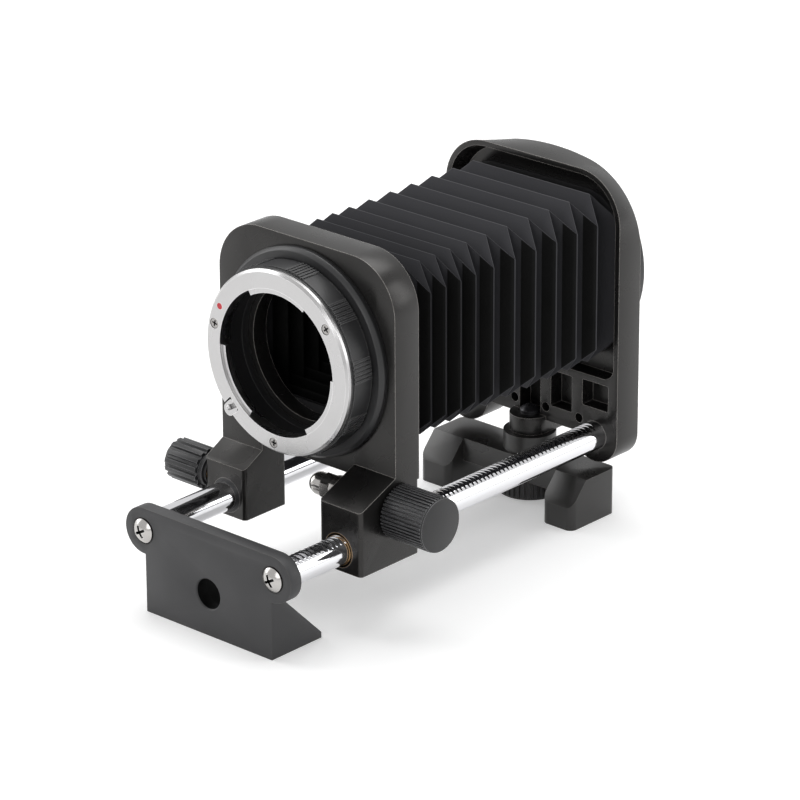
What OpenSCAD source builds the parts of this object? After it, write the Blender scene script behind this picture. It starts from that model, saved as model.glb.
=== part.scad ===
// Macro bellows unit: two cast standards on a pair of rails, joined by a pleated bellows.
// Frame: millimetres, +Z up, +Y towards the camera, +X towards the focusing knob.
// Origin: centre of the camera mount's face, on the optical axis.

/* [Layout] */
// Height of the optical axis above the table
axis_height = 82; // [81:0.5:84]
// Opening between the two standards, as photographed
standard_gap = 97; // [90:1:104]
// Bare rail between the end plate and the long guide block, as photographed
nose_gap = 25; // [20:1:40]
// Distance between the two rail axes
rail_spacing = 56; // [55:0.5:58]
// Distance of the rail axes below the optical axis
rail_drop = 54.4; // [53.5:0.1:55]
// Slack around a piece that turns or slides in another, on the radius
running_gap = 0.05; // [0.02:0.01:0.09]
// Slack around a piece that is pressed or screwed into another, on the radius
seat_gap = 0.01; // [0.005:0.005:0.02]
// Slack between the faces of two pieces that move past each other
face_gap = 0.3; // [0.15:0.05:0.4]

/* [Rails] */
// Diameter of the two rails
rail_d = 9.6; // [9:0.1:10]
// Chamfer on the rail ends
rail_chamfer = 0.6; // [0.3:0.1:1]
// Depth of the rails in the end plate
rail_front_seat = 1.5; // [1:0.1:2.5]
// Depth of the rails in the rear standard
rail_rear_seat = 7.2; // [6:0.1:8]
// Depth of the tapped holes in the rail ends
rail_tap_depth = 14; // [12:1:20]

/* [Rack and pinion] */
// Tooth module of the rack and the pinion
gear_module = 0.6; // [0.5:0.05:0.65]
// Number of teeth on the pinion
pinion_teeth = 22; // [20:1:23]
// Pressure angle of the teeth
pressure_angle = 20; // [18:1:22]
// Play between rack and pinion, along the pitch line
backlash = 0.16; // [0.12:0.02:0.2]
// Face width of the pinion
pinion_w = 6.2; // [5:0.1:7]
// Diameter of the pinion shaft
shaft_d = 5; // [4:0.1:5.4]
// Distance of the pinion axis behind the front face of the front standard
pinion_setback = 0.5; // [0:0.1:1]

/* [End plate] */
// Thickness of the upright part of the end plate
plate_t = 4.8; // [4:0.1:6]
// Radius of the ears around the rail ends
ear_r = 7.8; // [7:0.1:9]
// Width of the base
base_w = 54.6; // [50:0.2:58]
// Depth of the base on the table
base_depth = 22.4; // [18:0.2:26]
// Height of the lip at the rear tip of the base
base_lip = 2; // [1:0.1:3]
// Height at which the sloping back meets the upright part
slope_height = 19.5; // [17:0.1:20]
// Diameter of the accessory hole
socket_d = 10; // [8:0.1:10.5]
// Height of the accessory hole above the table
socket_height = 14.2; // [13:0.1:15]
// Chamfer at the mouth of the accessory hole
socket_chamfer = 0.4; // [0.2:0.1:0.8]
// Diameter of the spot face behind the accessory hole
spot_face_d = 15; // [13:0.5:17]

/* [Standards] */
// Width of both standards
standard_w = 74.8; // [74.6:0.1:78]
// Height of the front standard above the optical axis
standard_rise = 36.8; // [36:0.1:40]
// Radius of the front standard's upper corners
corner_r = 20; // [17:0.5:20.5]
// Height of the rear standard's arched top above the optical axis
rear_rise = 37.4; // [37.2:0.1:39]
// Radius of the rear standard's upper corners
rear_corner_r = 27; // [20:0.5:27]
// Radius of the shallow arch on top of the rear standard
rear_crown_r = 85; // [80:1:120]
// Thickness of the front standard
front_t = 10.9; // [10:0.1:13]
// Depth of the front standard below the optical axis, between its guide blocks
front_drop = 36.5; // [36:0.1:37.5]
// Bore of the front standard
front_bore_d = 46; // [42:0.5:47]
// Width of the rim around the recess in the back of the front standard
front_rim = 3.4; // [2.5:0.1:4]
// Depth of the recess in the back of the front standard
front_recess = 5; // [4:0.1:6]
// Thickness of the rear standard
rear_t = 10.8; // [10.5:0.1:13]
// Width of the rim around the recess in the front of the rear standard
rear_rim = 1.9; // [1.5:0.1:2.5]
// Depth of the recess in the front of the rear standard
rear_recess = 6; // [5:0.1:6.5]
// Bore of the rear standard
rear_bore_d = 40; // [36:0.5:41]
// Height above the rail axis of the lower edge of the recess
recess_floor = 20.6; // [20:0.1:22]
// Radius of the rear standard's lobes around the rail ends
lobe_r = 9.4; // [9:0.1:9.6]
// Depth of the square pockets that lighten the rear standard
pocket_depth = 5.5; // [4:0.1:6]
// Thickness of the ribs between the pockets
rib_t = 4.5; // [3.5:0.1:5]

/* [Guide blocks] */
// Width of the guide blocks
block_w = 17.5; // [16.5:0.1:18]
// Depth of the guide blocks below the rail axis
block_drop = 6.9; // [6.6:0.1:7.5]
// How far the long block stands forward of the front standard
long_nose = 16.2; // [14:0.2:18]
// Height of the long block's front edge above the rail axis
long_rise = 14.7; // [14.5:0.1:16]
// How far the short block stands forward of the front standard
short_nose = 8.4; // [8:0.2:10]
// Height of the short block's front edge above the rail axis
short_rise = 10.5; // [10:0.1:12]
// Rise of the blocks' sloping tops towards the front standard
block_slope = 6.9; // [5:0.1:7]
// Radius of the blocks' upright edges
block_edge_r = 1.4; // [1:0.1:2]
// Outer diameter of the guide bushes
bush_d = 11.6; // [11.2:0.1:12]
// Length of the front guide bushes
bush_front_len = 9; // [8:0.1:9.4]
// Length of the rear guide bushes
bush_rear_len = 4.4; // [3:0.1:4.6]

/* [Lens mount] */
// Height of the whole lens mount above the front standard
stack_h = 14; // [12:0.2:16]
// Outer diameter of the lens mount's base flange
flange_d = 69; // [66:0.5:71]
// Thickness of the base flange
flange_t = 3; // [2.5:0.1:4]
// Outer diameter of the ribbed collar
collar_d = 62.4; // [61.4:0.2:64]
// Bore of the base flange and the collar
collar_bore_d = 50.2; // [50:0.1:51]
// Outer diameter of the bayonet ring
ring_d = 60.6; // [59:0.2:61]
// Thickness of the bayonet ring at its rim
ring_t = 2; // [1.8:0.1:2.5]
// Width of the bevel around the bayonet ring
ring_bevel = 0.8; // [0.4:0.1:1]
// Bore of the bayonet ring
lens_bore_d = 48.4; // [47:0.1:48.6]
// Bore inside the three bayonet lugs
lug_bore_d = 45; // [44:0.1:46]
// Thickness of the bayonet lugs
lug_t = 1.4; // [1:0.1:1.6]
// How far the lugs are set back behind the ring's face
lug_set_back = 0.8; // [0.4:0.1:1.2]
// Angle that each bayonet lug covers
lug_arc = 59; // [50:1:62]
// Depth of the bayonet ring's inner sleeve
sleeve_depth = 4.6; // [4:0.1:6]
// Radius of the circle of ring screws and index dot
ring_screw_circle = 27.2; // [26.8:0.1:27.4]
// Diameter of the ring screws' heads
ring_screw_head_d = 3.4; // [3:0.1:3.6]
// Diameter of the index dot
dot_d = 2.2; // [1.5:0.1:2.5]
// Height of the ribs on the collar
rib_h = 0.35; // [0.2:0.05:0.5]
// Groups of ribs around the collar
rib_groups = 10; // [8:1:12]
// Ribs in each group
ribs_per_group = 6; // [4:1:7]

/* [Lens lock] */
// Direction of the lock pin around the lens mount
lock_angle = 225; // [215:1:235]
// Distance of the lock pin from the optical axis
lock_circle = 28.4; // [28:0.1:28.8]
// Diameter of the lock pin
lock_pin_d = 1.8; // [1.6:0.1:2]
// How far the lock pin stands out of the ring
lock_pin_out = 0.9; // [0.6:0.1:1.2]
// Width of the release tab
tab_w = 4.4; // [3.6:0.1:5]
// Thickness of the release tab
tab_t = 1.1; // [0.8:0.1:1.3]
// How far the release tab stands out beyond the ring
tab_out = 2.2; // [1.5:0.1:3]
// Travel of the release tab
tab_travel = 1.5; // [1:0.1:1.8]

/* [Camera mount] */
// Outer diameter of the camera side flange
camera_flange_d = 70; // [62:0.5:71]
// Distance from the rear standard to the camera mount's face
camera_flange_t = 7; // [6:0.1:9]
// Thickness of the camera side ring
camera_ring_t = 1.2; // [1:0.1:1.6]
// Outer diameter of the camera side ring
camera_ring_d = 59; // [57:0.5:61]
// Outer diameter of the bayonet tube that enters the camera
tube_d = 44.6; // [44:0.1:45]
// Bore of the bayonet tube
tube_bore_d = 39; // [37:0.5:39.5]
// How far the bayonet tube stands out of the camera mount's face
tube_out = 4.8; // [4.4:0.1:5.5]
// Diameter over the bayonet tabs
tab_over_d = 47.6; // [47:0.1:48.4]
// Thickness of the bayonet tabs
tab_thickness = 1.6; // [1.2:0.1:1.8]
// Radius of the circle of camera ring screws
camera_screw_circle = 26; // [25.5:0.1:27]

/* [Bellows] */
// Half width of the bellows across its side folds
fold_out_x = 33; // [31:0.2:33.4]
// Half height of the bellows across its top and bottom folds
fold_out_z = 29.2; // [28:0.2:30]
// Depth of the folds
fold_depth = 8; // [6:0.2:9]
// Thickness of the bellows cloth, measured across the folds
cloth_t = 1.6; // [1.2:0.1:2]
// Pleats that are still drawn together at the front
tight_pleats = 6; // [4:1:7]
// Pleats that are drawn open at the rear
open_pleats = 6; // [4:1:7]
// Ratio of an open pleat's pitch to a tight one's
open_ratio = 1.44; // [1.1:0.02:1.6]
// Thickness of the clamping frames at the ends of the bellows
frame_t = 1.5; // [1.2:0.1:1.8]

/* [Knobs] */
// Diameter of the focusing knob
focus_knob_d = 17.8; // [16:0.2:20]
// Length of the focusing knob
focus_knob_len = 17; // [14:0.5:20]
// Flutes around the focusing knob
focus_flutes = 44; // [30:1:48]
// Depth of the flutes on the focusing knob
focus_flute_depth = 0.7; // [0.4:0.1:0.9]
// Diameter of the clamp knob
clamp_knob_d = 13.8; // [12:0.2:15]
// Length of the clamp knob
clamp_knob_len = 16; // [13:0.5:18]
// Ribs around the clamp knob
clamp_ribs = 14; // [10:1:18]
// Depth of the grooves on the clamp knob
clamp_groove_depth = 0.9; // [0.5:0.1:1.1]
// Height of the clamp screw above the rail axis
clamp_rise = 4.3; // [3.8:0.1:4.4]
// Distance of the clamp screw behind the front of the short block
clamp_setback = 4.6; // [4.4:0.1:5]
// Diameter of the clamp plug
plug_d = 6; // [5.4:0.1:6]
// Pitch of the clamp screw's thread
clamp_pitch = 0.8; // [0.5:0.05:0.8]
// Thickness of the collars between the knobs and the blocks
knob_collar_t = 0.9; // [0.7:0.1:1.2]

/* [Cap nut] */
// Width across the flats of the cap nut
nut_flats = 8; // [7:0.1:9]
// Length of the cap nut
nut_len = 10.5; // [9:0.1:11]
// Length of the cap nut's hexagon
nut_hex_len = 4; // [3:0.1:5]
// Diameter of the bearing sleeve behind the cap nut
sleeve_d = 9.4; // [8.6:0.1:10]
// How far the bearing sleeve stands out of the long block
sleeve_out = 7.4; // [6:0.1:8]

/* [Tripod foot] */
// Diameter of the rear standard's boss
boss_d = 13.8; // [13:0.1:15]
// Height of the boss's top above the table
boss_top = 28.5; // [28:0.1:29]
// Height of the boss's bottom above the table
boss_bottom = 22.4; // [22:0.1:23]
// Diameter of the foot's hub
hub_d = 17.8; // [16:0.1:19]
// Length of the foot, across the rails
foot_len = 66.8; // [60:0.2:70]
// Width of each end of the foot
foot_end_w = 13; // [11:0.2:14]
// Height of the foot's arms above the table
foot_h = 16.2; // [15:0.1:17]
// Reach of the foot's ends in front of the post
foot_front = 17.9; // [16:0.1:19]
// Reach of the foot behind the post
foot_rear = 4.7; // [4.4:0.1:6]
// Height of the upright front of the foot's ends
foot_front_h = 7.9; // [6:0.1:9]
// Reach of the arm between the ends, in front of the post
arm_front = 10.2; // [9.6:0.1:10.4]
// Height of the arm's underside above the table
arm_underside = 8.1; // [7.8:0.1:9]
// Radius of the upright edges of the foot's ends
foot_edge_r = 2.6; // [1.5:0.1:3.5]
// Diameter of the post's stem
stem_d = 10; // [9.4:0.1:10.6]
// Height of the stem's lower end above the table
stem_bottom = 0.8; // [0.5:0.1:1.2]
// Diameter of the foot's locking disc
disc_d = 22.6; // [21:0.2:24]
// Height of the locking disc's underside above the table
disc_bottom = 0.6; // [0.5:0.1:1]
// Ribs around the locking disc
disc_ribs = 36; // [28:1:44]
// Tapping bore of the tripod socket, for a quarter inch thread
tripod_bore_d = 5.1; // [5:0.1:5.3]
// Depth of the tripod socket
tripod_depth = 8; // [6:0.5:9]

/* [Fasteners] */
// Diameter of the rail and post screws' heads
rail_head_d = 8; // [7:0.1:8.4]
// Height of the rail screws' heads
rail_head_h = 2.5; // [2:0.1:3]
// Thread diameter of the rail and post screws
rail_screw_d = 4; // [3.5:0.1:4.4]
// Diameter of the post screw's head
post_head_d = 6.8; // [6.4:0.1:8]
// Diameter of the ring screws' shanks
ring_screw_d = 1.8; // [1.6:0.1:2]
// Depth of the recesses under the rail screws' heads
head_recess = 0.7; // [0.4:0.1:1]

/* [Hidden] */

round_fn = 96;
ground = -axis_height;
rail_x = rail_spacing / 2;
rail_z = -rail_drop;
rail_r = rail_d / 2;

// Stations along the optical axis, from the camera forwards
rear_back_y = -camera_flange_t;
rear_front_y = rear_back_y - rear_t;
rear_floor_y = rear_front_y + rear_recess;
front_back_y = rear_front_y - standard_gap;
front_face_y = front_back_y - front_t;
front_floor_y = front_back_y - front_recess;
ring_y = front_face_y - stack_h;
long_face_y = front_face_y - long_nose;
short_face_y = front_face_y - short_nose;
plate_back_y = long_face_y - nose_gap;
plate_front_y = plate_back_y - plate_t;
rail_front_y = plate_back_y - rail_front_seat;
rail_rear_y = rear_front_y + rail_rear_seat;

// Guide blocks: their outer sides line up with the sides of the standards
block_out_x = standard_w / 2;
block_in_x = block_out_x - block_w;

// Rack and pinion
tooth_pitch = PI * gear_module;
pitch_r = gear_module * pinion_teeth / 2;
base_circle_r = pitch_r * cos(pressure_angle);
tip_r = pitch_r + 0.95 * gear_module;
root_r = pitch_r - 1.25 * gear_module;
rack_line = rail_r - gear_module;
pinion_y = front_face_y + pinion_setback;
pinion_z = rail_z + rack_line + pitch_r;
cavity_r = tip_r + 0.5;
cavity_in = rail_x - pinion_w / 2 - face_gap;
cavity_out = rail_x + pinion_w / 2 + face_gap;
outer_bearing_d = shaft_d + 3;

// Post and tripod foot
post_y = rear_front_y;
stem_top = ground + boss_bottom;
disc_top = ground + arm_underside - face_gap;

// Clamp screw on the short block
clamp_y = short_face_y + clamp_setback;
clamp_z = rail_z + clamp_rise;

// Knobs stand off the blocks by their collars, with a little slack on each side of a collar
collar_gap = 0.1;
knob_stand_off = knob_collar_t + 2 * collar_gap;
focus_knob_x = block_out_x + knob_stand_off;
clamp_knob_x = -block_out_x - knob_stand_off;
plug_back_x = -rail_x - plug_d - 0.6;
screw_shoulder_x = plug_back_x - clamp_pitch - 0.2;
insert_d = rail_screw_d + 4;

// Countersunk screws of both rings: the land around the head, the height of its cone, how
// far each head lies below its ring's face, and the screws' lengths
screw_land = 0.1;
screw_cone_h = (ring_screw_head_d - ring_screw_d) / 2;
ring_screw_sink = 0.2;
ring_screw_len = 5;
camera_screw_sink = 0.05;
camera_screw_len = 4.4;

// ---------- construction helpers ----------

// A cylinder along Y from one station to another
module rod_y(d, from, to, x = 0, z = 0) {
    translate([x, from, z])
        rotate([-90, 0, 0])
            cylinder(d = d, h = to - from, $fn = round_fn);
}

// A cylinder along X
module rod_x(d, from, to, y = 0, z = 0) {
    translate([from, y, z])
        rotate([0, 90, 0])
            cylinder(d = d, h = to - from, $fn = round_fn);
}

// A cylinder along Z
module rod_z(d, from, to, x = 0, y = 0) {
    translate([x, y, from])
        cylinder(d = d, h = to - from, $fn = round_fn);
}

// An outline in X and Z, as seen from the lens side, made into a slab along Y
module slab(from, to) {
    translate([0, to, 0])
        rotate([90, 0, 0])
            linear_extrude(to - from)
                children();
}

// A YZ profile made into a beam along X
module beam(from, to) {
    translate([from, 0, 0])
        rotate([90, 0, 90])
            linear_extrude(to - from)
                children();
}

// A profile of radius and station, turned about the optical axis
module turned() {
    rotate([-90, 0, 0])
        rotate_extrude($fn = round_fn)
            children();
}

// A rectangle with rounded corners
module rounded_rect(x0, x1, y0, y1, r) {
    translate([x0 + r, y0])
        square([x1 - x0 - 2 * r, y1 - y0]);
    translate([x0, y0 + r])
        square([x1 - x0, y1 - y0 - 2 * r]);
    for (x = [x0 + r, x1 - r], y = [y0 + r, y1 - r])
        translate([x, y])
            circle(r = r, $fn = round_fn);
}

// A rectangle with a different radius at its upper and its lower corners
module arched_rect(half_w, low, high, r_top, r_low) {
    mid = (low + high) / 2;
    rounded_rect(-half_w, half_w, low, mid + r_low, r_low);
    rounded_rect(-half_w, half_w, mid - r_top, high, r_top);
}

// A ring with raised ribs: every rib is a trapezium on the circle
module ribbed_disc(r_low, r_high, count, fill = 0.55) {
    step = 360 / count;
    polygon([
        for (i = [0 : count - 1])
            for (p = [[-0.5, r_low], [-fill / 2, r_low], [-fill / 3, r_high], [fill / 3, r_high], [fill / 2, r_low]])
                p[1] * [cos((i + p[0]) * step), sin((i + p[0]) * step)]
    ]);
}

// A wedge of the plane around an angle, for cutting rings into arcs
module wedge(mid_angle, arc, r) {
    steps = 4;
    polygon(concat([[0, 0]], [
        for (i = [0 : steps])
            r * [cos(mid_angle - arc / 2 + arc * i / steps), sin(mid_angle - arc / 2 + arc * i / steps)]
    ]));
}

// Half profile of a domed screw head
module head_profile(d, h) {
    crown = 0.62 * h;
    r = (pow(d / 2, 2) + pow(crown, 2)) / (2 * crown);
    intersection() {
        translate([0, h - r])
            circle(r = r, $fn = round_fn);
        square([d / 2, h]);
    }
}

// A cross recess, pointing up out of the head
module cross_recess(size, depth) {
    for (a = [0, 90])
        rotate([0, 0, a])
            translate([-size / 2, -size / 9, -depth])
                cube([size, size / 4.5, depth + size]);
}

// A cross-head screw standing on its seat, head upwards
module cross_screw(head_d, head_h, shank_d, length) {
    difference() {
        union() {
            rotate_extrude($fn = round_fn)
                head_profile(head_d, head_h);
            translate([0, 0, -length])
                cylinder(d = shank_d, h = length + 0.1, $fn = round_fn);
        }
        translate([0, 0, head_h])
            cross_recess(head_d * 0.52, head_h * 0.62);
    }
}

// ---------- end plate ----------

module end_plate_outline() {
    translate([-rail_x, rail_z - ear_r])
        square([rail_spacing, 2 * ear_r]);
    for (x = [-rail_x, rail_x])
        translate([x, rail_z])
            circle(r = ear_r, $fn = round_fn);
    translate([-base_w / 2, ground])
        square([base_w, rail_z - ground]);
}

module end_plate() {
    socket_z = ground + socket_height;
    color("#3f3f42")
    difference() {
        union() {
            slab(plate_front_y, plate_back_y)
                end_plate_outline();
            beam(-base_w / 2, base_w / 2)
                polygon([
                    [plate_front_y, ground],
                    [plate_front_y + base_depth, ground],
                    [plate_front_y + base_depth, ground + base_lip],
                    [plate_back_y, ground + slope_height],
                    [plate_front_y, ground + slope_height]
                ]);
        }
        rod_y(socket_d, plate_front_y - 1, plate_back_y + 1, 0, socket_z);
        rod_y(spot_face_d, plate_back_y, plate_front_y + base_depth + 1, 0, socket_z);
        translate([0, 0, socket_z])
            turned()
                polygon([
                    [0, plate_front_y - 1],
                    [socket_d / 2 + socket_chamfer + 1, plate_front_y - 1],
                    [socket_d / 2 - 0.01, plate_front_y + socket_chamfer + 0.01],
                    [0, plate_front_y + socket_chamfer + 0.01]
                ]);
        for (x = [-rail_x, rail_x]) {
            rod_y(rail_d + 2 * seat_gap, rail_front_y, plate_back_y + 1, x, rail_z);
            rod_y(rail_screw_d + 0.4, plate_front_y - 1, plate_back_y, x, rail_z);
            rod_y(rail_head_d + 0.8, plate_front_y - 1, plate_front_y + head_recess, x, rail_z);
        }
    }
}

module end_plate_screws() {
    color("#d8d8da")
    for (x = [-rail_x, rail_x])
        translate([x, plate_front_y + head_recess, rail_z])
            rotate([90, 0, 0])
                rotate([0, 0, 28])
                    cross_screw(rail_head_d, rail_head_h, rail_screw_d, rail_front_y - plate_front_y + 8);
}

// ---------- rails ----------

module rail(x) {
    translate([x, 0, rail_z])
        difference() {
            turned()
                polygon([
                    [0, rail_front_y],
                    [rail_r - rail_chamfer, rail_front_y],
                    [rail_r, rail_front_y + rail_chamfer],
                    [rail_r, rail_rear_y - rail_chamfer],
                    [rail_r - rail_chamfer, rail_rear_y],
                    [0, rail_rear_y]
                ]);
            rod_y(rail_screw_d + 2 * seat_gap, rail_front_y - 1, rail_front_y + rail_tap_depth);
            rod_y(rail_screw_d + 2 * seat_gap, rail_rear_y - rail_tap_depth, rail_rear_y + 1);
        }
}

module plain_rail() {
    color("#d0d0d4")
        rail(-rail_x);
}

// The gaps between the rack's teeth as one comb, at heights above the rack's pitch line.
// One gap lies straight below the pinion's axis, where a pinion tooth points down.
module rack_comb() {
    root = 1.25 * gear_module;
    over = gear_module + 0.3;
    half = (tooth_pitch + backlash) / 4;
    first = ceil((plate_back_y + 1.2 - pinion_y) / tooth_pitch);
    last = floor((rear_front_y - 2.4 - pinion_y) / tooth_pitch);
    lean = tan(pressure_angle);
    polygon(concat(
        [
            for (i = [first : last])
                for (p = [
                    [-half - over * lean, over],
                    [-half + root * lean, -root],
                    [half - root * lean, -root],
                    [half + over * lean, over]
                ])
                    [pinion_y + i * tooth_pitch + p[0], p[1]]
        ],
        [
            [pinion_y + last * tooth_pitch + tooth_pitch / 2, over + 2],
            [pinion_y + first * tooth_pitch - tooth_pitch / 2, over + 2]
        ]
    ));
}

module rack_rail() {
    color("#d8d8da")
    difference() {
        rail(rail_x);
        translate([0, 0, rail_z + rack_line])
            beam(rail_x - rail_r - 1, rail_x + rail_r + 1)
                rack_comb();
    }
}

// ---------- pinion ----------

// Polar angle of an involute at a radius
function involute(r) = let (t = sqrt(max(pow(r / base_circle_r, 2) - 1, 0))) t * 180 / PI - atan(t);

// Half the angle that a tooth covers at a radius
function half_tooth(r) =
    ((tooth_pitch - backlash) / 4) / pitch_r * 180 / PI + involute(pitch_r) - involute(r);

module pinion_outline() {
    flank_steps = 4;
    radii = [for (i = [0 : flank_steps]) base_circle_r + (tip_r - base_circle_r) * i / flank_steps];
    side = concat([[root_r, half_tooth(base_circle_r)]], [for (r = radii) [r, half_tooth(r)]]);
    count = len(side);
    step = 360 / pinion_teeth;
    polygon([
        for (i = [0 : pinion_teeth - 1])
            for (k = [0 : 2 * count - 1])
                let (p = k < count ? side[k] : side[2 * count - 1 - k], s = k < count ? -1 : 1)
                    p[0] * [cos(i * step + s * p[1]), sin(i * step + s * p[1])]
    ]);
}

module pinion_shaft() {
    color("#b9b9bd")
    translate([0, pinion_y, pinion_z]) {
        translate([rail_x - pinion_w / 2, 0, 0])
            rotate([0, 90, 0])
                linear_extrude(pinion_w)
                    pinion_outline();
        rod_x(shaft_d, block_in_x - sleeve_out - nut_hex_len - 1.5, focus_knob_x + focus_knob_len - 4);
    }
}

module focus_knob() {
    color("#232325")
    translate([focus_knob_x, pinion_y, pinion_z])
        rotate([0, 90, 0])
            difference() {
                union() {
                    linear_extrude(focus_knob_len - 0.8)
                        ribbed_disc(focus_knob_d / 2 - focus_flute_depth, focus_knob_d / 2, focus_flutes, 0.62);
                    translate([0, 0, focus_knob_len - 0.8])
                        cylinder(d = focus_knob_d - 0.3, h = 0.8, $fn = round_fn);
                }
                translate([0, 0, -1])
                    cylinder(d = shaft_d + 2 * seat_gap, h = focus_knob_len - 4 + 1.2, $fn = round_fn);
            }
}

module focus_collar() {
    color("#161618")
    difference() {
        rod_x(shaft_d + 6, block_out_x + collar_gap, focus_knob_x - collar_gap, pinion_y, pinion_z);
        rod_x(shaft_d + 2 * seat_gap, block_out_x - 1, block_out_x + 2, pinion_y, pinion_z);
    }
}

// The inner bearing fills the mouth of the pinion's cavity and stands out of the block
module bearing_sleeve() {
    color("#d8d8da")
    difference() {
        union() {
            rod_x(2 * (cavity_r - seat_gap), block_in_x, cavity_in - face_gap, pinion_y, pinion_z);
            rod_x(sleeve_d, block_in_x - sleeve_out, block_in_x + 1, pinion_y, pinion_z);
        }
        rod_x(shaft_d + 2 * running_gap, block_in_x - sleeve_out - 1, cavity_out, pinion_y, pinion_z);
        rod_y(rail_d + 1.4, long_face_y, front_back_y, rail_x, rail_z);
    }
}

module outer_bearing() {
    color("#b08d57")
    difference() {
        rod_x(outer_bearing_d, cavity_out, block_out_x, pinion_y, pinion_z);
        rod_x(shaft_d + 2 * running_gap, cavity_out - 1, block_out_x + 1, pinion_y, pinion_z);
    }
}

module thrust_washer() {
    x1 = block_in_x - sleeve_out - 0.1;
    color("#c8c8cc")
    difference() {
        rod_x(nut_flats + 0.6, x1 - 0.5, x1, pinion_y, pinion_z);
        rod_x(shaft_d + 2 * seat_gap, x1 - 1, x1 + 1, pinion_y, pinion_z);
    }
}

module cap_nut() {
    x1 = block_in_x - sleeve_out - 0.6;
    dome_r = nut_flats / 2 - 0.2;
    dome_len = nut_len - nut_hex_len - dome_r;
    color("#e0e0e2")
    translate([x1, pinion_y, pinion_z])
        rotate([0, -90, 0])
            difference() {
                union() {
                    intersection() {
                        cylinder(d = nut_flats * 2 / sqrt(3), h = nut_hex_len, $fn = 6);
                        rotate_extrude($fn = round_fn)
                            polygon([
                                [0, 0],
                                [nut_flats / 2, 0],
                                [nut_flats / 2 + 0.8, 0.8],
                                [nut_flats / 2 + 0.8, nut_hex_len - 0.5],
                                [nut_flats / 2, nut_hex_len],
                                [0, nut_hex_len]
                            ]);
                    }
                    cylinder(r = dome_r, h = nut_hex_len + dome_len, $fn = round_fn);
                    translate([0, 0, nut_hex_len + dome_len])
                        sphere(r = dome_r, $fn = round_fn);
                }
                translate([0, 0, -1])
                    cylinder(d = shaft_d + 2 * seat_gap, h = nut_hex_len + 2.2, $fn = round_fn);
            }
}

// ---------- rear standard ----------

// A rectangle whose top is a shallow arch that runs smoothly into the round corners
module crowned_rect(half_w, low, rise, r_crown, r_top, r_low) {
    reach = half_w - r_top;
    corner_z = rise - r_crown + sqrt(pow(r_crown - r_top, 2) - pow(reach, 2));
    tangent_x = reach * r_crown / (r_crown - r_top);
    arched_rect(half_w, low, corner_z + r_top, r_top, r_low);
    intersection() {
        translate([0, rise - r_crown])
            circle(r = r_crown, $fn = 4 * round_fn);
        translate([-tangent_x, corner_z])
            square([2 * tangent_x, r_crown]);
    }
}

module rear_outline() {
    crowned_rect(standard_w / 2, rail_z - 0.6, rear_rise, rear_crown_r, rear_corner_r, 0.5);
    for (x = [-rail_x, rail_x])
        translate([x, rail_z])
            circle(r = lobe_r, $fn = round_fn);
}

module rear_standard() {
    half = standard_w / 2 - rear_rim;
    floor_z = rail_z + recess_floor;
    pocket_top = floor_z - 2.4;
    in_x = rib_t;
    mid_x = in_x + rib_t;
    color("#2b2b2d")
    difference() {
        union() {
            slab(rear_front_y, rear_back_y)
                rear_outline();
            rod_z(boss_d, ground + boss_bottom, ground + boss_top, 0, post_y);
            translate([-boss_d / 2, post_y, ground + boss_bottom])
                cube([boss_d, rear_t, boss_top - boss_bottom]);
        }
        slab(rear_front_y - 1, rear_floor_y)
            crowned_rect(
                half, floor_z, rear_rise - rear_rim, rear_crown_r - rear_rim, rear_corner_r - rear_rim, 4.5
            );
        rod_y(rear_bore_d, rear_front_y - 1, rear_back_y + 1);
        slab(rear_front_y - 1, rear_front_y + pocket_depth)
            rounded_rect(-in_x, in_x, ground + boss_top, pocket_top, 0.4);
        for (s = [-1, 1])
            slab(rear_front_y - 1, rear_front_y + pocket_depth) {
                rounded_rect(
                    s > 0 ? mid_x : -mid_x - 2 * rib_t, s > 0 ? mid_x + 2 * rib_t : -mid_x,
                    rail_z + 5.3, pocket_top - 0.2, 0.4
                );
                rounded_rect(
                    s > 0 ? mid_x + 3 * rib_t : -half + 2, s > 0 ? half - 2 : -mid_x - 3 * rib_t,
                    rail_z + lobe_r, pocket_top + 0.2, 0.4
                );
            }
        for (x = [-mid_x - 2.7 * rib_t, -in_x - rib_t / 2, in_x + rib_t / 2, mid_x + 2.7 * rib_t])
            rod_y(3.2, rear_front_y - 1, rear_front_y + 4, x, rail_z + 4.2);
        for (x = [-rail_x, rail_x]) {
            rod_y(rail_d + 2 * seat_gap, rear_front_y - 1, rail_rear_y, x, rail_z);
            rod_y(rail_screw_d + 0.4, rear_front_y, rear_back_y + 1, x, rail_z);
            rod_y(rail_head_d + 0.6, rear_back_y - 1.6, rear_back_y + 1, x, rail_z);
        }
        rod_z(rail_screw_d + 0.4, ground + boss_bottom - 1, ground + boss_top + 1, 0, post_y);
        rod_z(6.1, ground + boss_bottom - 1, ground + boss_bottom + 1.6, 0, post_y);
    }
}

module rear_rail_screws() {
    color("#2a2a2c")
    for (x = [-rail_x, rail_x])
        translate([x, rear_back_y - 1.6, rail_z])
            rotate([-90, 0, 0])
                cross_screw(rail_head_d, rail_head_h, rail_screw_d, rear_t - rail_rear_seat + 8);
}

// ---------- bellows ----------

// The cloth is folded so that every second station is wide and low, and those between
// are narrow and high: the creases run zigzag along each corner.
pleats = tight_pleats + open_pleats;
rear_draw_in = 0.8;
bellows_front_y = front_floor_y + frame_t + 0.1;
bellows_rear_y = rear_floor_y - frame_t;
function pleat_share(k) = k < tight_pleats - 1 ? 1 : k < tight_pleats ? (1 + open_ratio) / 2 : open_ratio;
function share_sum(k) = k <= 0 ? 0 : pleat_share(k - 1) + share_sum(k - 1);
function pleat_y(k) =
    bellows_front_y + (bellows_rear_y - bellows_front_y) * share_sum(k) / share_sum(pleats);

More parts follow.
